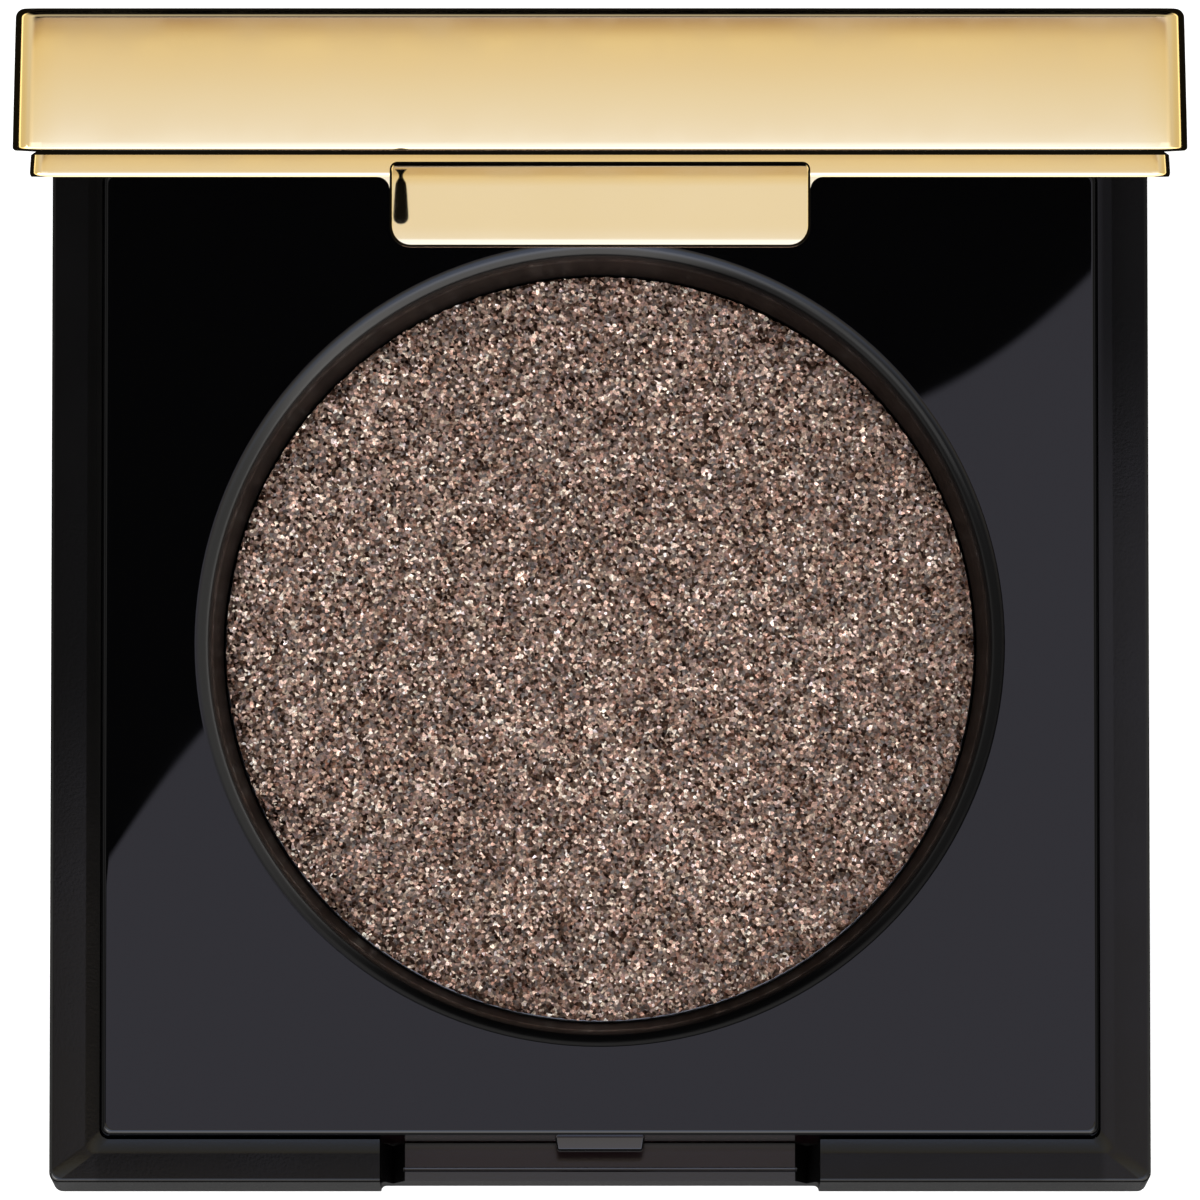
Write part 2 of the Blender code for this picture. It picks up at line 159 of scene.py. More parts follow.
def mesh_object(name, bm):
    mesh = bpy.data.meshes.new(name)
    bm.to_mesh(mesh)
    bm.free()
    obj = bpy.data.objects.new(name, mesh)
    bpy.context.scene.collection.objects.link(obj)
    return obj


def stack(name, sections):
    """A closed solid through a row of (outline, height) sections, with a cap at each end."""
    bm = bmesh.new()
    rings = [[bm.verts.new((x, y, height)) for x, y in outline] for outline, height in sections]
    bm.faces.new(reversed(rings[0]))
    bm.faces.new(rings[-1])
    count = len(rings[0])
    for lower, upper in zip(rings, rings[1:]):
        for i in range(count):
            j = (i + 1) % count
            bm.faces.new((lower[i], lower[j], upper[j], upper[i]))
    return mesh_object(name, bm)


def forward_stack(name, sections):
    """A stack of upright (outline, distance) sections, from the rear towards the front."""
    solid = stack(name, sections)
    solid.data.transform(Matrix.Rotation(math.pi / 2, 4, "X"))
    return solid


def rounded_edge(height, radius, outline, steps=4, arc=math.pi / 2):
    """Sections of a round edge that ends a wall at a height and turns onto its cap.

    The outline is a function of the inset from the wall.  An arc under a quarter turn leaves a crisp
    corner at the cap.
    """
    sections = []
    for i in range(1, steps + 1):
        angle = arc * i / steps
        level = height - radius * (math.sin(arc) - math.sin(angle))
        sections.append((outline(radius * (1 - math.cos(angle))), level))
    return sections


def rounded_foot(height, radius, outline, steps=4, arc=math.pi / 2):
    """Sections of a round edge that starts from a cap and turns up into a wall."""
    return [(points, 2 * height - level)
            for points, level in reversed(rounded_edge(height, radius, outline, steps, arc))]


def bevelled_block(name, low, high, radius, segments=4):
    """A block whose edges are all rounded."""
    bm = bmesh.new()
    bmesh.ops.create_cube(bm, size=1.0)
    low, high = Vector(low), Vector(high)
    size = high - low
    for vertex in bm.verts:
        vertex.co = Vector(low[k] + (vertex.co[k] + 0.5) * size[k] for k in range(3))
    bmesh.ops.bevel(bm, geom=bm.edges[:], offset=radius, segments=segments, profile=0.5, affect="EDGES",
                    clamp_overlap=True)
    return mesh_object(name, bm)


def slice_heights(obj, heights):
    """Cut level edge loops into a mesh, so that a face can be bent."""
    bm = bmesh.new()
    bm.from_mesh(obj.data)
    for height in heights:
        bmesh.ops.bisect_plane(bm, geom=bm.verts[:] + bm.edges[:] + bm.faces[:],
                               plane_co=(0, 0, height), plane_no=(0, 0, 1), dist=1e-7)
    bm.to_mesh(obj.data)
    bm.free()


def lean(slopes, share, height):
    """How far a bowed wall has leaned in at a share of its height.

    Its slope grows evenly from the first to the second of the two slopes.
    """
    start, end = slopes
    return height * (start * share + (end - start) * share ** 2 / 2)


def cross_rod(name, centre_x, length, radius, steps=48):
    """A round bar along X on the hinge line, with softly rounded ends."""
    round_off = min(radius, length / 2) * 0.16
    sections = [
        (circle(radius - round_off, steps), -length / 2),
        (circle(radius, steps), -length / 2 + round_off),
        (circle(radius, steps), length / 2 - round_off),
        (circle(radius - round_off, steps), length / 2),
    ]
    rod = stack(name, sections)
    rod.data.transform(Matrix.Translation((centre_x, AXIS_POINT.y, AXIS_POINT.z))
                       @ Matrix.Rotation(math.pi / 2, 4, "Y"))
    return rod


def apply_boolean(target, tool, operation):
    """Combine a tool object with the target and remove the tool."""
    modifier = target.modifiers.new("boolean", "BOOLEAN")
    modifier.operation = operation
    modifier.solver = "EXACT"
    modifier.object = tool
    evaluated = target.evaluated_get(bpy.context.evaluated_depsgraph_get())
    result = bpy.data.meshes.new_from_object(evaluated)
    target.modifiers.clear()
    old = target.data
    target.data = result
    bpy.data.meshes.remove(old)
    bpy.data.objects.remove(tool, do_unlink=True)


def cut(target, *tools):
    for tool in tools:
        apply_boolean(target, tool, "DIFFERENCE")


def join(target, *tools):
    for tool in tools:
        apply_boolean(target, tool, "UNION")


def shade(obj, material, node, body, angle=35):
    """Smooth shading with flat faces kept flat; then the piece joins the frame."""
    obj.data.materials.clear()
    obj.data.materials.append(material)
    for polygon in obj.data.polygons:
        polygon.material_index = 0
    obj.data.shade_smooth()
    obj.data.set_sharp_from_angle(angle=math.radians(angle))
    weighted = obj.modifiers.new("flat_faces_flat", "WEIGHTED_NORMAL")
    weighted.keep_sharp = True
    weighted.weight = 100
    if body == "lid":
        obj.data.transform(swing(REST_OPENING))
        obj.visible_glossy = False
    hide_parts(node)
    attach(obj, body)
    return obj


# ---------------------------------------------------------------- materials

class Graph:
    """A short way to write a node tree; values are numbers or the outputs of other nodes."""

    def __init__(self, tree):
        self.tree = tree

    def add(self, kind, values=None, links=None):
        node = self.tree.nodes.new(kind)
        for key, value in (values or {}).items():
            if isinstance(key, str) and hasattr(node, key):
                setattr(node, key, value)
            else:
                node.inputs[key].default_value = value
        for key, source in (links or {}).items():
            self.tree.links.new(source, node.inputs[key])
        return node

    def fill(self, node, sources):
        """Give a node's first inputs their numbers or links."""
        for socket, source in zip(node.inputs, sources):
            if isinstance(source, (int, float, tuple)):
                socket.default_value = source
            else:
                self.tree.links.new(source, socket)
        return node

    def math(self, operation, a, b=0.0, c=0.0):
        return self.fill(self.add("ShaderNodeMath", {"operation": operation}), (a, b, c)).outputs[0]

    def times(self, *factors):
        return functools.reduce(lambda a, b: self.math("MULTIPLY", a, b), factors)

    def plus(self, *terms):
        return functools.reduce(lambda a, b: self.math("ADD", a, b), terms)

    def minus(self, a, b):
        return self.math("SUBTRACT", a, b)

    def larger(self, a, b):
        return self.math("MAXIMUM", a, b)

    def magnitude(self, value):
        return self.math("ABSOLUTE", value)

    def vector(self, operation, a, b):
        node = self.add("ShaderNodeVectorMath", {"operation": operation})
        return self.fill(node, (a, b)).outputs["Vector"]

    def scale(self, colour, factor):
        node = self.fill(self.add("ShaderNodeVectorMath", {"operation": "SCALE"}), (colour,))
        self.tree.links.new(factor, node.inputs["Scale"])
        return node.outputs["Vector"]

    def smooth(self, value, start, end, low, high, interpolation="SMOOTHSTEP"):
        """Carry a value from one span to another, and stay level beyond its ends."""
        values = {"From Min": start, "From Max": end, "To Min": low, "To Max": high}
        node = self.add("ShaderNodeMapRange", {"interpolation_type": interpolation, **values},
                        {"Value": value})
        return node.outputs["Result"]

    def mask(self, value, off, on):
        """Zero where a value is at or beyond one place, rising smoothly to one at the other."""
        return self.smooth(value, off, on, 0.0, 1.0)

    def ramp(self, source, stops, headroom=1.0):
        """A colour ramp; its stops may be as bright as the headroom."""
        ramp = self.add("ShaderNodeValToRGB", links={0: source})
        elements = ramp.color_ramp.elements
        while len(elements) < len(stops):
            elements.new(0.5)
        for element, (place, colour) in zip(elements, stops):
            element.position = place
            element.color = (*(c / headroom for c in colour), 1.0)
        if headroom == 1.0:
            return ramp.outputs["Color"]
        return self.vector("MULTIPLY", ramp.outputs["Color"], (headroom,) * 3)

    def grey_ramp(self, source, low, high, start=0.3, end=0.7):
        return self.ramp(source, [(start, (low,) * 3), (end, (high,) * 3)])

    def split(self, vector):
        return self.add("ShaderNodeSeparateXYZ", links={0: vector}).outputs

    def mix(self, factor, low, high):
        """One colour or another, or a blend of the two."""
        node = self.add("ShaderNodeMix", {"data_type": "RGBA"}, {"Factor": factor})
        for key, colour in (("A", low), ("B", high)):
            if isinstance(colour, tuple):
                node.inputs[key].default_value = (*colour, 1.0)
            else:
                self.tree.links.new(colour, node.inputs[key])
        return node.outputs["Result"]

    def from_above(self):
        """One where the camera looks almost straight down, as in the photograph, and zero elsewhere."""
        axis = self.add("ShaderNodeVectorTransform", {"vector_type": "VECTOR", "convert_from": "CAMERA",
                                                      "convert_to": "WORLD", 0: (0.0, 0.0, 1.0)})
        steepness = self.magnitude(self.split(axis.outputs[0])[2])
        return self.mask(steepness, 0.96, 0.985)


class Nodes(Graph):
    """The node tree of a material with one Principled shader."""

    def __init__(self, name):
        self.material = bpy.data.materials.new(name)
        self.material.use_nodes = True
        super().__init__(self.material.node_tree)
        self.shader = self.tree.nodes["Principled BSDF"]
        places = self.add("ShaderNodeTexCoord").outputs
        self.coords = places["Object"]
        self.normal = places["Normal"]

    def set(self, **values):
        for key, value in values.items():
            self.shader.inputs[key.replace("_", " ")].default_value = value

    def link(self, source, name):
        self.tree.links.new(source, self.shader.inputs[name])

    def noise(self, scale, detail=3.0, roughness=0.5):
        values = {"Scale": scale, "Detail": detail, "Roughness": roughness}
        return self.add("ShaderNodeTexNoise", values, {"Vector": self.coords}).outputs["Fac"]

    def flakes(self, scale):
        """Cells that each have their own random colour."""
        values = {"Scale": scale, "Randomness": 1.0}
        return self.add("ShaderNodeTexVoronoi", values, {"Vector": self.coords}).outputs["Color"]

    def bump(self, height, distance, strength=1.0):
        values = {"Distance": distance, "Strength": strength}
        bump = self.add("ShaderNodeBump", values, {"Height": height})
        self.link(bump.outputs["Normal"], "Normal")


def satin_black():
    """Moulded black plastic with a fine satin grain.

    The notch's shelf is lighter, pinker and shinier.  Beside the plate the ledge's reflections are
    painted stronger towards the front and weaker towards the back, with the change starting further
    back on its right side: a painted sheen.
    """
    n = Nodes("satin_black")
    x, y, z = n.split(n.coords)
    from_middle = n.magnitude(x)
    # The notch's shelf is lighter, pinker and shinier.
    on_shelf = n.times(
        n.mask(from_middle, SHELF_HALF + 0.03 * MM, SHELF_HALF - 0.03 * MM),
        n.mask(z, 5.5 * MM, 5.0 * MM),
        n.mask(y, -TRAY_FRONT, -TRAY_FRONT - 0.2 * MM),
    )
    beside_plate = n.mask(from_middle, TRAY_HALF, TRAY_HALF + 0.4 * MM)
    # Painted sheen: the reflections on the ledge beside the plate grow towards the front and fade
    # towards the back; on the right side the change starts further back.
    painted_sheen_from = n.smooth(x, -MM, MM, 0.0, 14.0 * MM)
    painted_sheen = n.smooth(n.minus(y, painted_sheen_from), 0.0, -12.0 * MM, -0.16, 0.10)
    shine = n.plus(0.27, n.times(beside_plate, painted_sheen), n.times(on_shelf, 0.28))
    n.link(shine, "Specular IOR Level")
    moulded, pinker = (0.0035, 0.0034, 0.0034), (0.0075, 0.0036, 0.0040)
    n.link(n.ramp(on_shelf, [(0.0, moulded), (1.0, pinker)]), "Base Color")
    n.link(n.grey_ramp(n.noise(220.0, 4.0), 0.10, 0.14), "Roughness")
    n.bump(n.noise(9000.0, 2.0), 0.004 * MM, 0.3)
    return n.material


def gloss_black():
    """Glossy black plate, barely wavy; the well's edge is satin and its wall carries powder dust.

    In the notch the lower part of the plate's skirt and the top of the catch are lighter and pinker,
    and the catch's top shinier; the skirt's top and the catch's edges lose their reflections,
    painted shade.  The reflections on the plate's side edges, and on the part of the well's edge
    that looks left, are turned down: painted shade.
    """
    n = Nodes("gloss_black")
    n.set(IOR=1.5)
    x, y, z = n.split(n.coords)
    normal_x, _, normal_z = n.split(n.normal)
    from_middle = n.magnitude(x)
    skirt = n.times(
        n.mask(y, -TRAY_FRONT + 0.1 * MM, -TRAY_FRONT + 0.02 * MM),
        n.mask(z, TRAY_TOP - 0.20 * MM, TRAY_TOP - 0.24 * MM),
        n.mask(from_middle, NOTCH_HALF, NOTCH_HALF - 0.05 * MM),
    )
    catch = n.mask(y, -TRAY_FRONT - 0.02 * MM, -TRAY_FRONT - 0.06 * MM)
    catch_top = n.times(catch, n.mask(normal_z, 0.93, 0.97))
    lower_skirt = n.times(skirt, n.mask(z, TRAY_TOP - 0.55 * MM, TRAY_TOP - 0.65 * MM))
    # The lower part of the skirt and the top of the catch are lighter and pinker; the catch's top is
    # also shinier.
    pinker = n.larger(n.times(lower_skirt, n.minus(1.0, catch)), catch_top)

    plan = n.vector("SUBTRACT", n.coords, (0.0, WELL_CENTRE_Y, 0.0))
    plan = n.vector("MULTIPLY", plan, (1.0, 1.0, 0.0))
    radius = n.add("ShaderNodeVectorMath", {"operation": "LENGTH"}, {0: plan}).outputs["Value"]
    edge = n.mask(radius, WELL_RADIUS + WELL_FILLET, WELL_RADIUS + WELL_FILLET - 0.1 * MM)
    wall = n.mask(radius, WELL_RADIUS + 0.04 * MM, WELL_RADIUS - 0.04 * MM)
    dust = n.times(wall, n.smooth(n.noise(5200.0, 3.0, 0.6), 0.35, 0.65, 0.6, 1.0))
    dusty = n.ramp(dust, [(0.0, (0.0012, 0.0012, 0.0014)), (1.0, (0.012, 0.008, 0.0065))])
    n.link(n.mix(pinker, dusty, (0.0100, 0.0044, 0.0052)), "Base Color")

    polish = n.grey_ramp(n.noise(160.0, 3.0), 0.003, 0.010)
    n.link(n.plus(polish, n.times(edge, 0.2), n.times(wall, 0.25)), "Roughness")

    shine = n.minus(0.5, n.times(wall, 0.35))
    # Painted shade: the skirt and the catch lose most of their reflection, so the skirt's top and the
    # catch's edges stay dark.
    shine = n.minus(shine, n.times(n.larger(skirt, catch), 0.45))
    shine = n.plus(shine, n.times(pinker, 0.30), n.times(catch_top, 0.50))
    # Painted shade: the reflections on the part of the well's edge that looks left and on the plate's
    # side edges are turned down.
    looks_left = n.smooth(normal_x, -0.03, -0.25, 0.0, 0.8)
    side_edge = n.times(
        n.mask(n.magnitude(normal_x), 0.1, 0.35),
        n.mask(from_middle, TRAY_HALF - 0.4 * MM, TRAY_HALF - 0.3 * MM),
    )
    shine = n.times(shine, n.minus(1.0, n.times(looks_left, edge)))
    shine = n.times(shine, n.minus(1.0, n.times(side_edge, 0.8)))
    n.link(n.larger(shine, 0.0), "Specular IOR Level")
    n.bump(n.noise(60.0, 1.0), 0.01 * MM, 0.15)
    return n.material


def polished_gold():
    """Gold metallised plastic, mirror-bright with a faint haze; its ends and side-facing faces are
    painted a deeper yellow, a painted reflection tone.
    """
    n = Nodes("polished_gold")
    pale, full = (0.87, 0.69, 0.41), (0.89, 0.71, 0.43)
    lacquer = n.ramp(n.noise(90.0, 2.0), [(0.3, pale), (0.7, full)])
    # Painted reflection tone: side-facing faces and the ends are tinted a deeper yellow.
    sideways = n.mask(n.magnitude(n.split(n.normal)[0]), 0.1, 0.5)
    near_end = n.smooth(n.magnitude(n.split(n.coords)[0]), 20.3 * MM, 22.4 * MM, 0.0, 0.55)
    painted_end_tint = (0.96, 0.86, 0.56)
    painted_end_tone = n.ramp(n.larger(sideways, near_end), [(0.0, (1.0,) * 3), (1.0, painted_end_tint)])
    n.link(n.vector("MULTIPLY", lacquer, painted_end_tone), "Base Color")
    n.set(Metallic=1.0)
    n.link(n.grey_ramp(n.noise(400.0, 4.0), 0.07, 0.12), "Roughness")
    return n.material


def pan_metal():
    """Pressed aluminium sheet with fine turning marks."""
    n = Nodes("pan_metal")
    n.set(Base_Color=(0.46, 0.46, 0.48, 1), Metallic=1.0)
    marks = n.noise(2500.0, 3.0)
    n.link(n.grey_ramp(marks, 0.30, 0.48), "Roughness")
    n.bump(marks, 0.01 * MM, 0.3)
    return n.material


def glitter_powder():
    """Pressed taupe powder full of bright flakes, each with its own tone, hue and tilt."""
    n = Nodes("glitter_powder")
    flakes = n.flakes(8200.0)
    red, green, blue = n.add("ShaderNodeSeparateColor", links={0: flakes}).outputs
    tone = n.ramp(red, [
        (0.0, (0.022, 0.012, 0.008)),
        (0.24, (0.062, 0.039, 0.028)),
        (0.54, (0.160, 0.109, 0.085)),
        (0.79, (0.300, 0.222, 0.184)),
        (0.90, (0.700, 0.600, 0.530)),
        (1.0, (1.0, 0.97, 0.94)),
    ])
    hue = n.ramp(blue, [
        (0.0, (1.15, 0.84, 0.77)),
        (0.4, (1.03, 0.91, 0.82)),
        (0.7, (0.94, 0.96, 0.86)),
        (1.0, (0.98, 0.89, 0.98)),
    ], headroom=2.0)
    clumps = n.ramp(n.flakes(4300.0), [
        (0.15, (0.62, 0.60, 0.58)),
        (0.35, (0.96,) * 3),
        (0.68, (1.05,) * 3),
        (0.88, (1.8,) * 3),
    ], headroom=2.0)
    grain = n.ramp(n.noise(16000.0, 2.0, 0.7), [
        (0.30, (0.45,) * 3),
        (0.50, (1.0,) * 3),
        (0.72, (1.75,) * 3),
    ], headroom=2.0)
    drift = n.ramp(n.noise(650.0, 4.0, 0.6), [
        (0.36, (0.68, 0.58, 0.53)),
        (0.64, (1.26, 1.24, 1.25)),
    ], headroom=2.0)
    for factor in (hue, grain, drift, clumps):
        tone = n.vector("MULTIPLY", tone, factor)
    n.link(tone, "Base Color")
    n.link(n.grey_ramp(green, 0.0, 0.85, 0.45, 0.75), "Metallic")
    n.link(n.grey_ramp(blue, 0.22, 0.65, 0.2, 0.9), "Roughness")
    centred = n.vector("SUBTRACT", flakes, (0.5, 0.5, 0.5))
    tilt = n.vector("MULTIPLY", centred, (0.8, 0.8, 0.8))
    surface = n.add("ShaderNodeNewGeometry")
    total = n.vector("ADD", surface.outputs["Normal"], tilt)
    n.link(n.vector("NORMALIZE", total, (0.0, 0.0, 0.0)), "Normal")
    return n.material


def plain_material(name, colour, roughness, metallic=0.0):
    """A small hidden part: its colour, a fine grain and a little variation."""
    n = Nodes(name)
    spots = n.noise(3000.0)
    darker = tuple(c * 0.86 for c in colour)
    n.link(n.ramp(spots, [(0.35, darker), (0.65, colour)]), "Base Color")
    n.set(Roughness=roughness, Metallic=metallic)
    n.bump(spots, 0.01 * MM, 0.4)
    return n.material


def mirror_glass():
    """Silvered glass with the slight haze of a thin smear."""
    n = Nodes("mirror_glass")
    n.set(Base_Color=(0.86, 0.88, 0.88, 1), Metallic=1.0)
    n.link(n.grey_ramp(n.noise(140.0, 4.0), 0.012, 0.035), "Roughness")
    return n.material


# ---------------------------------------------------------------- base pieces

STATIONS = (-10.5 * MM, 10.5 * MM)
KNUCKLE_RADIUS = 1.4 * MM
PIN_RADIUS = 0.5 * MM
PIN_BORE = 0.57 * MM
PIN_LENGTH = 8.2 * MM
LID_KNUCKLE = 3.0 * MM
LUG_LENGTH = 2.7 * MM
LUG_ROOT = 5.0 * MM
KNUCKLE_GAP = 0.3 * MM
LUG_OFFSET = (LID_KNUCKLE + LUG_LENGTH) / 2 + KNUCKLE_GAP
NOTCH_HALF = 9.0 * MM
NOTCH_FLOOR = 3.0 * MM
NOTCH_SETBACK = 0.25 * MM
SIDE_GAP = 1.0 * MM
SHELF_HALF = NOTCH_HALF - SIDE_GAP
LABEL_GAP = 0.25 * MM
RISE_WIDTH = 0.6 * MM
BASE_FLOOR = 1.3 * MM
LABEL_RECESS = 0.4 * MM
WELL_RADIUS = 15.83 * MM
WELL_FILLET = 0.75 * MM
WELL_FLOOR = 2.4 * MM
WELL_FLOOR_RADIUS = 15.45 * MM
WELL_WALL = 1.0 * MM
TRAY_SKIRT = 1.2 * MM
TRAY_PLATE = 1.3 * MM
CATCH_HALF = 1.9 * MM
CATCH_BOTTOM = 5.2 * MM
CATCH_TOP = 6.1 * MM


def build_base_case(material):
    """Bottom shell: a ledge that rises softly to the tray, front notch, hinge lugs, label recess."""
    corner = 0.4 * MM
    rim_radius = 0.16 * MM
    foot_radius = 0.4 * MM
    seam_line = 0.10 * MM
    deep_seam = 0.05 * MM

    def outline(inset):
        return square(HALF_CASE - inset, corner)

    strip_top = LEDGE_TOP - 0.03 * MM
    strip_low = strip_top - 0.015 * MM
    seam_depth = NOTCH_FLOOR + 0.45 * MM
    seam_bottom = NOTCH_FLOOR + 0.25 * MM
    sections = rounded_foot(0.0, foot_radius, outline)
    sections += [(outline(0.0), foot_radius), (outline(0.0), strip_top - rim_radius)]
    sections += rounded_edge(strip_top, rim_radius, outline)
    for share in shares(8):
        rise = (LEDGE_TOP - strip_low) * share ** 1.5
        sections.append((tray_outline(seam_line + RISE_WIDTH * (1 - share), corner), strip_low + rise))
    sections.append((tray_outline(seam_line, corner), seam_depth))
    sections.append((tray_outline(deep_seam, corner), seam_bottom))
    sections.append((tray_outline(deep_seam, corner), BASE_FLOOR))
    base = stack("base_shell", sections)

    outside = -HALF_CASE - MM
    notch = bevelled_block("notch", (-NOTCH_HALF, outside, NOTCH_FLOOR),
                           (NOTCH_HALF, -TRAY_FRONT + 0.5 * MM, LEDGE_TOP + MM), 0.2 * MM)
    setback = bevelled_block("setback", (-NOTCH_HALF, outside, -MM),
                             (NOTCH_HALF, -HALF_CASE + NOTCH_SETBACK, NOTCH_FLOOR + MM), 0.2 * MM)
    label_outline = box_outline(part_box("base_label"), MM, LABEL_GAP)
    recess = stack("recess", [(label_outline, -MM), (label_outline, LABEL_RECESS)])
    cut(base, notch, setback, recess)

    # A fine line runs along the shelf, which slopes down ahead of it.
    line_front = -HALF_CASE + 0.62 * MM
    line_width = 0.2 * MM
    line_depth = 0.25 * MM
    line_end = SHELF_HALF + 0.1 * MM
    front_slope = math.tan(math.radians(4.5))
    line = bevelled_block("line", (-line_end, line_front, NOTCH_FLOOR - line_depth),
                          (line_end, line_front + line_width, NOTCH_FLOOR + MM), 0.05 * MM, 2)
    cut(base, line)
    for vertex in base.data.vertices:
        ahead = line_front - vertex.co.y
        on_floor = abs(vertex.co.z - NOTCH_FLOOR) < 0.02 * MM
        if abs(vertex.co.x) < NOTCH_HALF and ahead > 0 and on_floor:
            vertex.co.z -= ahead * front_slope

    # The gaps at the ends of the shelf are V-shaped and run back under the plate.
    gap_depth = 1.6 * MM
    for side in (-1, 1):
        left, right = sorted((side * SHELF_HALF, side * NOTCH_HALF))
        middle = (left + right) / 2
        gap = [(left, NOTCH_FLOOR + MM), (left, NOTCH_FLOOR), (middle, NOTCH_FLOOR - gap_depth),
               (right, NOTCH_FLOOR), (right, NOTCH_FLOOR + MM)]
        cut(base, forward_stack("groove", [(gap, TRAY_FRONT - 0.5 * MM), (gap, HALF_CASE + MM)]))

    for station in STATIONS:
        for side in (-1, 1):
            centre = station + side * LUG_OFFSET
            half = LUG_LENGTH / 2
            low = (centre - half, AXIS_POINT.y - KNUCKLE_RADIUS, LUG_ROOT)
            high = (centre + half, AXIS_POINT.y + KNUCKLE_RADIUS, AXIS_POINT.z)
            neck = bevelled_block("neck", low, high, 0.1 * MM, 2)
            join(base, neck, cross_rod("round", centre, LUG_LENGTH, KNUCKLE_RADIUS))
        cut(base, cross_rod("bore", station, 2 * PIN_LENGTH, PIN_BORE))
    return shade(base, material, "base_case", "base")


def build_pan_tray(material):
    """Glossy plate with a crisp rounded edge, the well with its rounded rim, and the catch."""
    corner = 0.35 * MM
    edge = 0.2 * MM

    def outline(inset):
        return tray_outline(-inset, corner)

    sections = [(outline(0.0), TRAY_LOW.z), (outline(0.0), TRAY_TOP - edge)]
    sections += rounded_edge(TRAY_TOP, edge, outline, 6)
    tray = stack("gloss_tray", sections)
    well_sections = [(well_circle(WELL_FLOOR_RADIUS), WELL_FLOOR),
                     (well_circle(WELL_FLOOR_RADIUS), CAKE_HIGH.z - 0.1 * MM)]
    for share in shares(12):
        angle = math.pi / 2 * share
        radius = WELL_RADIUS + WELL_FILLET * (1 - math.cos(angle))
        well_sections.append((well_circle(radius), TRAY_TOP - WELL_FILLET * (1 - math.sin(angle))))
    well_sections.append((well_circle(WELL_RADIUS + WELL_FILLET), TRAY_TOP + MM))
    well = stack("well", well_sections)
    half_hollow = TRAY_HALF - TRAY_SKIRT
    hollow = bevelled_block("hollow", (-half_hollow, -TRAY_FRONT + TRAY_SKIRT, TRAY_LOW.z - MM),
                            (half_hollow, TRAY_REAR - TRAY_SKIRT, TRAY_TOP - TRAY_PLATE), 0.2 * MM, 2)
    cup_outline = well_circle(WELL_RADIUS + WELL_WALL)
    cut(hollow, stack("cup", [(cup_outline, TRAY_LOW.z - 2 * MM), (cup_outline, TRAY_TOP)]))
    cut(tray, well, hollow)
    catch = bevelled_block("catch", (-CATCH_HALF, -CATCH_TIP, CATCH_BOTTOM),
                           (CATCH_HALF, -TRAY_FRONT + 0.5 * MM, CATCH_TOP), 0.1 * MM)
    top_slope = math.tan(math.radians(7.0))
    taper = 0.09
    for vertex in catch.data.vertices:
        reach = max(0.0, -TRAY_FRONT - vertex.co.y)
        if vertex.co.z > (CATCH_BOTTOM + CATCH_TOP) / 2:
            vertex.co.z -= reach * top_slope
        vertex.co.x *= 1.0 - taper * reach / CATCH_DEPTH
    join(tray, catch)
    return shade(tray, material, "pan_tray", "base")


def build_powder_pan(material):
    """Thin pressed metal cup with a rolled rim and a rounded foot."""
    outer = PAN_HIGH.x
    wall = 0.25 * MM
    foot = 0.3 * MM
    rim = wall / 2
    sections = []
    for share in shares(4):
        angle = math.pi / 2 * share
        sections.append((well_circle(outer - foot * (1 - math.sin(angle))),
                         PAN_LOW.z + foot * (1 - math.cos(angle))))
    for share in shares(8):
        angle = math.pi * share
        sections.append((well_circle(outer - rim + rim * math.cos(angle)),
                         PAN_HIGH.z - rim + rim * math.sin(angle)))
    sections.append((well_circle(outer - wall), PAN_LOW.z + wall))
    pan = stack("metal_pan", sections)
    return shade(pan, material, "powder_pan", "base", 60)


def build_powder(material):
    """Pressed powder: a disc whose top is a bed of small facets, crumbling a little at its edge."""
    random = np.random.default_rng(7)
    radius = CAKE_HIGH.x
    top = CAKE_HIGH.z
    brim = top - 0.45 * MM
    plug = radius - 0.5 * MM
    spacing = 0.16 * MM
    rings = int(radius / spacing)
    worn_share = 0.975
    bm = bmesh.new()
    previous = [bm.verts.new((0, WELL_CENTRE_Y, top))]
    for ring in range(1, rings + 1):
        share = ring / rings
        count = 6 * ring
        worn = max(0.0, (share - worn_share) / (1 - worn_share))
        current = []
        for i in range(count):
            angle = 2 * math.pi * i / count
            outward = random.uniform(-0.35, 0.35 if ring < rings else 0.0) * spacing
            r = radius * share + outward
            a = angle + random.uniform(-0.3, 0.3) * spacing / r
            height = top - random.uniform(0.0, 0.05) * MM - worn * random.uniform(0.02, 0.16) * MM
            current.append(bm.verts.new((r * math.cos(a), WELL_CENTRE_Y + r * math.sin(a), height)))
        join_rings(bm, previous, current)
        previous = current
    centre = Vector((0, WELL_CENTRE_Y, 0))
    for reach, level in ((0.995, brim), (plug / radius, brim), (plug / radius, CAKE_LOW.z)):
        current = []
        for i in range(len(previous)):
            angle = 2 * math.pi * i / len(previous)
            flat = Vector((math.cos(angle), math.sin(angle), 0)) * radius * reach
            current.append(bm.verts.new(centre + flat + Vector((0, 0, level))))
        for i in range(len(previous)):
            j = (i + 1) % len(previous)
            bm.faces.new((previous[j], previous[i], current[i], current[j]))
        previous = current
    bm.faces.new(previous[::-1])
    bmesh.ops.recalc_face_normals(bm, faces=bm.faces)
    powder = mesh_object("pressed_powder", bm)
    powder.data.materials.append(material)
    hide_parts("powder_cake")
    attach(powder, "base")
    return powder


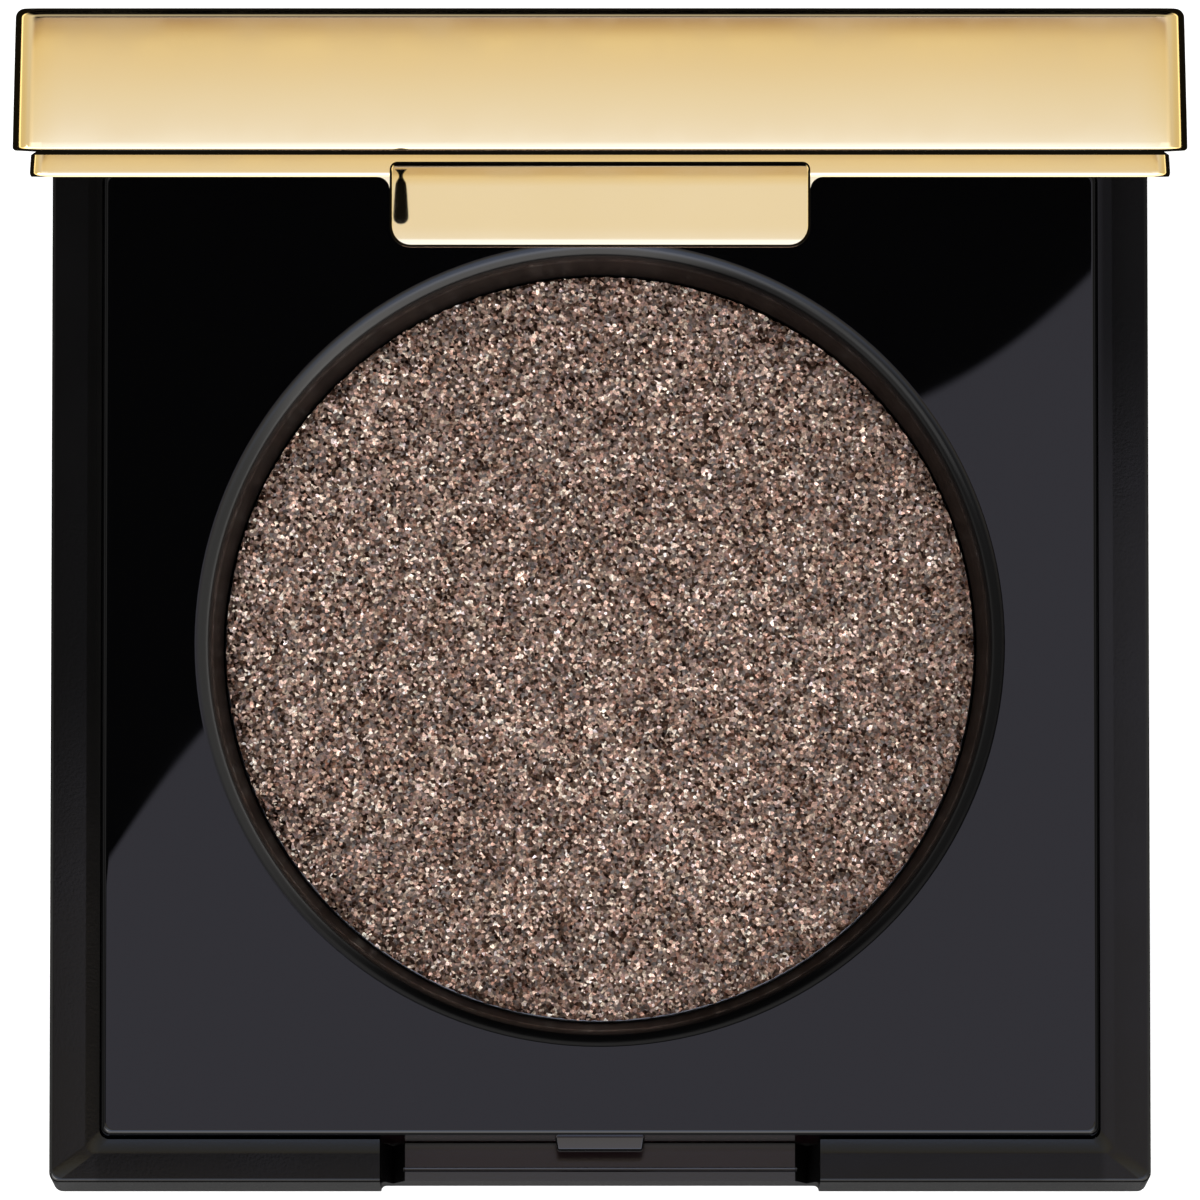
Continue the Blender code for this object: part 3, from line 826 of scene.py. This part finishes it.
def join_rings(bm, inner, outer):
    """Triangles between two rings of points with different counts, walked by angle."""
    if len(inner) == 1:
        for i in range(len(outer)):
            bm.faces.new((inner[0], outer[i], outer[(i + 1) % len(outer)]))
        return
    a = b = 0
    inner_count, outer_count = len(inner), len(outer)
    while a < inner_count or b < outer_count:
        next_inner = (a + 1) / inner_count
        next_outer = (b + 1) / outer_count
        if b < outer_count and (a >= inner_count or next_outer <= next_inner):
            bm.faces.new((inner[a % inner_count], outer[b % outer_count], outer[(b + 1) % outer_count]))
            b += 1
        else:
            bm.faces.new((inner[a % inner_count], outer[b % outer_count], inner[(a + 1) % inner_count]))
            a += 1


def build_small_base_parts(glue, paper, steel):
    """Adhesive spot, blank label and hinge pins."""
    low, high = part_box("pan_glue")
    slump = 0.06 * MM
    spot = stack("glue_spot", [
        (well_circle(high.x * 0.97, 96), low.z),
        (well_circle(high.x, 96), low.z + slump),
        (well_circle(high.x * 0.98, 96), high.z),
    ])
    shade(spot, glue, "pan_glue", "base")
    low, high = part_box("base_label")
    outline = box_outline((low, high), 0.75 * MM)
    sticker = stack("blank_label", [(outline, low.z), (outline, high.z)])
    shade(sticker, paper, "base_label", "base")
    for station, side in zip(STATIONS, ("left", "right")):
        pin = cross_rod(f"pin_{side}", station, PIN_LENGTH, PIN_RADIUS)
        shade(pin, steel, f"hinge_pin_{side}", "base")


# ---------------------------------------------------------------- lid pieces

HINGE_WINDOW_HALF = LID_KNUCKLE / 2 + KNUCKLE_GAP + LUG_LENGTH + 0.5 * MM
HINGE_WINDOW_TOP = 10.9 * MM
GOLD_STEPS = 16
GOLD_POWER = 2.8


def build_lid_cover(material):
    """Outer gold shell: drafted walls, bowed at front and rear, rounded corners and edges."""
    corner = 1.15 * MM
    inner = HALF_CASE - 0.8 * MM
    edge = 0.37 * MM
    rim_round = 0.14 * MM
    ceiling = COVER_TOP - 1.0 * MM
    side_draft = math.tan(math.radians(1.3))
    bow = (0.0, math.tan(math.radians(4.9)))
    wall_height = COVER_TOP - edge - COVER_RIM
    front_half = HALF_CASE - 0.02 * MM

    def outline(share, inset=0.0):
        half_x = HALF_CASE - side_draft * wall_height * share - inset
        half_y = front_half - lean(bow, share, wall_height) - inset
        return square(half_x, corner, half_y, half_y, GOLD_STEPS, GOLD_POWER)

    inner_outline = square(inner, 0.4 * MM, steps=GOLD_STEPS)
    sections = [(inner_outline, ceiling), (inner_outline, COVER_RIM + 0.1 * MM)]
    sections.append((square(inner + 0.1 * MM, 0.4 * MM, steps=GOLD_STEPS), COVER_RIM))
    sections += rounded_foot(COVER_RIM, rim_round, lambda inset: outline(0.0, inset), 6)
    for share in shares(24):
        height = COVER_RIM + rim_round + (wall_height - rim_round) * share
        sections.append((outline(share), height))
    sections += rounded_edge(COVER_TOP, edge, lambda inset: outline(1.0, inset), 8)
    cover = stack("gold_cover", sections)
    for station in STATIONS:
        low = (station - HINGE_WINDOW_HALF, inner - MM, COVER_RIM - MM)
        high = (station + HINGE_WINDOW_HALF, HALF_CASE + MM, HINGE_WINDOW_TOP)
        cut(cover, bevelled_block("window", low, high, 0.3 * MM))
    return shade(cover, material, "lid_cover", "lid")


def build_lid_frame(material):
    """Inner gold frame: plate, stepped lip, snap tab with round corners, knuckles."""
    corner = 0.75 * MM
    inner = 20.85 * MM
    inner_front = 21.0 * MM
    upper = 21.4 * MM
    lip_top = COVER_RIM - 0.16 * MM
    shoulder = 0.2 * MM
    plate_bottom = 10.6 * MM
    lip_round = 0.25 * MM
    lip_arc = math.radians(40)
    lip_edge = lip_round * math.sin(lip_arc)
    lip_bow = (math.radians(2.8), math.radians(4.8))
    lip_height = lip_top - LIP_BOTTOM - lip_edge
    rear_end = 20.5 * MM
    rear_bottom = 7.6 * MM

    def outline(inset):
        return square(LIP_HALF - inset, corner, steps=GOLD_STEPS, power=GOLD_POWER)

    inner_outline = square(inner, 0.4 * MM, inner_front, steps=GOLD_STEPS)
    upper_outline = square(upper, corner, steps=GOLD_STEPS)
    sections = [(inner_outline, plate_bottom), (inner_outline, LIP_BOTTOM)]
    sections += rounded_foot(LIP_BOTTOM, lip_round, outline, 6, lip_arc)
    for share in shares(8):
        height = LIP_BOTTOM + lip_edge + lip_height * share
        sections.append((outline(lean(lip_bow, share, lip_height)), height))
    lip_inset = lean(lip_bow, 1.0, lip_height)
    shoulder_outline = outline(lip_inset + 1.5 * shoulder)
    sections += [(shoulder_outline, lip_top + shoulder), (upper_outline, FRAME_TOP)]
    body = stack("gold_frame", sections)
    relief = bevelled_block("relief", (-HALF_CASE, rear_end, LIP_BOTTOM - MM),
                            (HALF_CASE, HALF_CASE, rear_bottom), 0.1 * MM, 2)
    cut(body, relief)
    for station in STATIONS:
        low = (station - HINGE_WINDOW_HALF, rear_end, LIP_BOTTOM - MM)
        high = (station + HINGE_WINDOW_HALF, HALF_CASE, HINGE_WINDOW_TOP)
        cut(body, bevelled_block("window", low, high, 0.2 * MM, 2))
        half = LID_KNUCKLE / 2
        arm = bevelled_block("arm", (station - half, rear_end - 0.3 * MM, AXIS_POINT.z),
                             (station + half, upper, plate_bottom + 0.4 * MM), 0.1 * MM, 2)
        join(body, arm, cross_rod("knuckle", station, LID_KNUCKLE, KNUCKLE_RADIUS))
        cut(body, cross_rod("bore", station, 2 * LID_KNUCKLE, PIN_BORE))
    join(body, snap_tab(), tab_fillet(-1), tab_fillet(1))
    pocket_half, pocket_front, pocket_bottom = 2.5 * MM, 21.55 * MM, 4.9 * MM
    pocket = bevelled_block("pocket", (-pocket_half, -pocket_front, pocket_bottom),
                            (pocket_half, MM - inner_front, LIP_BOTTOM), 0.1 * MM, 2)
    cut(body, pocket)
    return shade(body, material, "lid_frame", "lid")


def snap_tab():
    """The front tab: a tongue with round lower corners, a bowed face and rounded face edges."""
    half_width = TAB_HALF
    corner = 0.8 * MM
    top_corner = 0.3 * MM
    face_round = 0.28 * MM
    face_arc = math.radians(52)
    round_off = face_round * math.sin(face_arc)
    back = 21.3 * MM
    steps = 8
    corner_x = half_width - corner
    corner_z = TAB_BOTTOM + corner
    top_x = half_width - top_corner
    top_z = TAB_TOP - top_corner

    def outline(inset):
        top = top_z - 0.6 * inset
        return (corner_arc(corner_x, corner_z, corner - inset, -math.pi / 2, steps)
                + corner_arc(top_x, top, top_corner - inset, 0.0, steps)
                + corner_arc(-top_x, top, top_corner - inset, math.pi / 2, steps)
                + corner_arc(-corner_x, corner_z, corner - inset, math.pi, steps))

    sections = [(outline(0.1 * MM), back), (outline(0.0), back + 0.1 * MM)]
    sections += [(outline(0.0), TAB_FACE - round_off)]
    sections += rounded_edge(TAB_FACE, face_round, outline, 6, face_arc)
    tab = forward_stack("tab", sections)
    slices = 40
    slice_heights(tab, [TAB_BOTTOM + (TAB_TOP - TAB_BOTTOM) * i / slices for i in range(1, slices)])
    for vertex in tab.data.vertices:
        if vertex.co.y < -TAB_FACE + round_off + 0.01 * MM:
            vertex.co.y += tab_lean(vertex.co.z)
    return tab


def tab_fillet(side):
    """The small web that rounds the corner between the lip and one end of the tab."""
    radius = 0.5 * MM
    overlap = 0.1 * MM
    inside = TAB_HALF - 1.5 * overlap
    outline = [(TAB_HALF + radius, LIP_BOTTOM + overlap), (inside, LIP_BOTTOM + overlap),
               (inside, LIP_BOTTOM - radius)]
    for share in shares(8):
        angle = math.pi - math.pi / 2 * share
        outline.append((TAB_HALF + radius * (1 + math.cos(angle)),
                        LIP_BOTTOM - radius * (1 - math.sin(angle))))
    if side < 0:
        outline = [(-x, z) for x, z in reversed(outline)]
    return forward_stack("web", [(outline, 21.35 * MM), (outline, LIP_HALF - 0.05 * MM)])


def tab_lean(height):
    """How far the tab's face has leaned in at a height: a flat bow that curls back at the top."""
    above_foot = height - TAB_BOTTOM
    total = eased_lean(math.radians(1.9), above_foot, 0.8 * MM)
    foot = 0.32 * MM
    foot_slope = math.radians(6.0)
    if above_foot < foot:
        total += lean((0.0, foot_slope), 1.0 - above_foot / foot, foot)
    above_curl = height - (TAB_TOP - 0.95 * MM)
    if above_curl > 0:
        total += eased_lean(math.radians(3.0), above_curl, 0.45 * MM)
    return total


def eased_lean(slope, distance, span):
    """The lean of a wall that turns evenly to a slope over a span and then keeps it."""
    return lean((0.0, slope), min(1.0, distance / span), span) + slope * max(0.0, distance - span)


def build_mirror_and_tape(glass, foam):
    """Bevel-edged mirror and the tape behind it."""
    low, high = shut_box("mirror")
    edge = 0.35 * MM
    lift = 0.12 * MM
    corner = 0.6 * MM
    full = box_outline((low, high), corner)
    bevel = box_outline((low, high), corner, -edge)
    mirror = stack("lid_mirror", [(bevel, low.z), (full, low.z + lift), (full, high.z)])
    shade(mirror, glass, "mirror", "lid", 3)
    low, high = shut_box("mirror_tape")
    outline = box_outline((low, high), 0.5 * MM)
    tape = stack("foam_tape", [(outline, low.z), (outline, high.z)])
    shade(tape, foam, "mirror_tape", "lid")


# ---------------------------------------------------------------- studio

CAMERA_ELEVATION = math.radians(84.0)
CAMERA_DISTANCE = 653.0 * MM
CAMERA_AIM = Vector((0.0, 1.25 * MM, 7.4 * MM))
CAMERA_LENS = 479.0


def build_camera():
    """A long lens, straight in front of the object and almost overhead."""
    data = bpy.data.cameras.new("camera")
    data.lens = CAMERA_LENS
    data.sensor_width = 36.0
    data.clip_start = 10 * MM
    data.clip_end = 20.0
    camera = bpy.data.objects.new("camera", data)
    bpy.context.scene.collection.objects.link(camera)
    back = Vector((0.0, -math.cos(CAMERA_ELEVATION), math.sin(CAMERA_ELEVATION)))
    camera.location = CAMERA_AIM + back * CAMERA_DISTANCE
    camera.rotation_mode = "QUATERNION"
    camera.rotation_quaternion = (-back).to_track_quat("-Z", "Y")
    bpy.context.scene.camera = camera


def build_floor():
    """A pale sweep.

    Reflections see it grey.  Where the camera looks almost straight down its colour in reflections
    is painted dark, painted shade standing in for flags, and only right beside the object a little of
    its pale colour is left.
    """
    half_width = 3.0
    camera_glow = 0.6
    bm = bmesh.new()
    bmesh.ops.create_grid(bm, x_segments=1, y_segments=1, size=half_width)
    floor = mesh_object("floor", bm)
    floor.location.z = -0.05 * MM
    n = Nodes("floor")
    n.set(Roughness=0.9, Specular_IOR_Level=0.0, Emission_Color=(1.0, 1.0, 1.0, 1.0))
    path = n.add("ShaderNodeLightPath").outputs
    pale = (0.9, 0.9, 0.9)
    # Painted shade: beyond a short ray length reflections see the floor dark, standing in for flags.
    painted_flag_shade = n.smooth(path["Ray Length"], 8 * MM, 20 * MM, 0.88, 1.0)
    nearby = n.mix(painted_flag_shade, pale, (0.006,) * 3)
    shaded = n.mix(n.from_above(), (0.45, 0.44, 0.42), nearby)
    n.link(n.mix(path["Is Glossy Ray"], pale, shaded), "Base Color")
    n.link(n.times(path["Is Camera Ray"], camera_glow), "Emission Strength")
    floor.data.materials.append(n.material)


def build_drop_flag():
    """A small dark flag just over the left end of the open tab.

    Only reflections see it, and only from the photograph's viewpoint.  It is a drop that hangs by
    a thin neck from the dark line along the tab's upper edge.
    """
    level = -TAB_FACE - 1.0 * MM
    centre = -TAB_HALF + 0.42 * MM
    top = TAB_TOP + 0.07 * MM
    start, length, end_length = 0.17 * MM, 2.40 * MM, 0.30 * MM
    belly, waist, neck, flare = 0.305 * MM, 0.20 * MM, 0.075 * MM, 0.50 * MM
    neck_from, waist_from = 0.45 * MM, 0.85 * MM
    bm = bmesh.new()
    rows = []
    for share in shares(60):
        depth = start + (length - start) * share
        widening = min(1.0, max(0.0, (depth - neck_from) / (waist_from - neck_from)))
        half = neck + (waist - neck) * widening ** 2 * (3.0 - 2.0 * widening)
        half += (belly - waist) * max(0.0, (depth - waist_from) / (length - waist_from)) ** 0.7
        half += (flare - neck) * max(0.0, 1.0 - depth / neck_from) ** 2
        beyond = max(0.0, depth - (length - end_length)) / end_length
        half *= math.sqrt(max(0.0, 1.0 - min(1.0, beyond) ** 2))
        rows.append([bm.verts.new((x, level, top - depth)) for x in (centre - half, centre + half)])
    for upper, lower in zip(rows, rows[1:]):
        bm.faces.new((upper[0], upper[1], lower[1], lower[0]))
    flag = mesh_object("flag", bm)
    flag.data.transform(swing(REST_OPENING))
    n = Nodes("flag")
    n.tree.nodes.remove(n.shader)
    clear = n.add("ShaderNodeBsdfTransparent").outputs[0]
    dark = n.add("ShaderNodeBsdfDiffuse", {"Color": (0.0, 0.0, 0.0, 1.0)}).outputs[0]
    blend = n.add("ShaderNodeMixShader", links={0: n.from_above(), 1: clear, 2: dark})
    n.tree.links.new(blend.outputs[0], n.tree.nodes["Material Output"].inputs["Surface"])
    flag.data.materials.append(n.material)
    flag.visible_camera = False
    flag.visible_diffuse = False
    flag.visible_shadow = False
    flag.visible_transmission = False


def build_world():
    """A soft studio.

    Diffuse light is even.  From the photograph's viewpoint reflections see an overhead panel whose
    far edge is a shallow S, a softbox lower down at the front, grey sides and a dim rear.  From other
    viewpoints they see a plain pale room.

    A direction is known by how far it leans across and along for each step up.
    """
    side_light, rear_light, front_light = 0.8, 0.45, 2.0
    world = bpy.data.worlds.new("studio")
    bpy.context.scene.world = world
    world.use_nodes = True
    tree = world.node_tree
    graph = Graph(tree)
    coords = graph.add("ShaderNodeTexCoord").outputs["Generated"]
    dx, dy, dz = graph.split(coords)
    height = graph.larger(dz, 0.02)
    across = graph.math("DIVIDE", dx, height)
    along = graph.math("DIVIDE", dy, height)

    # The far edge of the overhead panel is a shallow S across the view, level beyond its ends.
    edge_middle, edge_slope, edge_bend, edge_twist = 0.1117, 0.2507, -4.804, 361.9
    near = graph.math("MINIMUM", graph.larger(across, -0.040), 0.06)
    edge = graph.plus(
        graph.times(near, edge_slope),
        edge_middle,
        graph.times(near, near, edge_bend),
        graph.times(near, near, near, edge_twist),
    )
    softness = 0.0004
    panel = graph.times(
        graph.mask(graph.minus(along, edge), softness, -softness),
        graph.mask(along, -1.2, -0.6),
        graph.mask(graph.magnitude(across), 0.60, 0.25),
    )

    # The panel is warm and dimmer at the back, and cool and brighter towards the camera.
    tone = graph.ramp(graph.smooth(along, 0.10, -0.20, 0.0, 1.0, "LINEAR"), [
        (0.10, (0.75, 0.73, 0.88)),
        (0.145, (0.30, 0.19, 0.12)),
        (0.195, (0.64, 0.48, 0.25)),
        (0.245, (0.91, 0.81, 0.56)),
        (0.36, (0.89, 0.81, 0.64)),
        (0.52, (0.92, 0.90, 0.84)),
        (0.75, (0.97, 1.00, 1.12)),
        (0.79, (1.14, 1.35, 1.86)),
        (0.83, (1.30, 1.50, 2.05)),
    ], headroom=2.5)
    overhead = graph.scale(tone, panel)

    tilt = graph.math("SQRT", graph.minus(1.0001, graph.times(dz, dz)))
    sideways = graph.math("DIVIDE", graph.magnitude(dx), tilt)
    forward = graph.math("DIVIDE", graph.times(dy, -1.0), tilt)

    # Grey sides with a bright strip just above the horizon.
    over_horizon = graph.mask(dz, 0.02, 0.06)
    wall_level = graph.times(graph.smooth(tilt, 0.24, 0.51, 0.0, side_light), over_horizon)
    strip = graph.times(over_horizon, graph.mask(dz, 0.30, 0.18))
    sides = graph.times(graph.mask(sideways, 0.45, 0.85), graph.plus(wall_level, strip))

    # A softbox lower down at the front.
    front = graph.times(
        graph.mask(forward, 0.35, 0.75),
        graph.mask(dz, 0.89, 0.84),
        graph.mask(dz, 0.08, 0.20),
        front_light,
    )

    # A dim rear wall, behind the dark beyond the panel.
    rear = graph.times(
        graph.smooth(along, 0.16, 0.26, 0.0, rear_light),
        graph.mask(along, 0.8, 0.5),
        graph.mask(sideways, 0.85, 0.5),
    )

    lower = graph.scale((1.0, 0.97, 0.94), graph.plus(rear, front))
    lower = graph.vector("ADD", lower, graph.scale((1.0, 0.975, 0.94), sides))
    glossy = graph.vector("ADD", overhead, lower)

    # Away from the photograph's viewpoint the flags are gone and reflections see a plain pale room.
    plain = graph.ramp(dz, [
        (0.0, (0.50, 0.49, 0.47)),
        (0.35, (0.85, 0.84, 0.82)),
        (1.0, (1.0, 1.0, 1.0)),
    ])
    glossy = graph.mix(graph.from_above(), plain, glossy)
    in_reflection = graph.add("ShaderNodeLightPath").outputs["Is Glossy Ray"]
    even = graph.scale((1.0, 0.995, 0.99), graph.minus(1.0, in_reflection))
    total = graph.vector("ADD", graph.scale(glossy, in_reflection), even)
    tree.links.new(total, tree.nodes["Background"].inputs["Color"])


def build_key_light():
    """One large soft key from the front left, for the sparkle of the powder."""
    data = bpy.data.lights.new("key", "AREA")
    data.shape = "RECTANGLE"
    data.size = 0.35
    data.size_y = 0.25
    data.energy = 1.2
    key = bpy.data.objects.new("key", data)
    bpy.context.scene.collection.objects.link(key)
    key.location = (-0.38, -0.30, 0.47)
    key.rotation_mode = "QUATERNION"
    key.rotation_quaternion = (-key.location).to_track_quat("-Z", "Y")


# ---------------------------------------------------------------- build

gold = polished_gold()
build_base_case(satin_black())
build_pan_tray(gloss_black())
build_powder_pan(pan_metal())
build_powder(glitter_powder())
build_small_base_parts(plain_material("adhesive", (0.72, 0.69, 0.58), 0.4),
                       plain_material("label_paper", (0.80, 0.80, 0.78), 0.65),
                       plain_material("pin_steel", (0.55, 0.55, 0.56), 0.28, 1.0))
build_lid_cover(gold)
build_lid_frame(gold)
build_mirror_and_tape(mirror_glass(), plain_material("tape_foam", (0.78, 0.78, 0.76), 0.8))
build_camera()
build_floor()
build_drop_flag()
build_world()
build_key_light()
bpy.context.scene.view_settings.view_transform = "Standard"
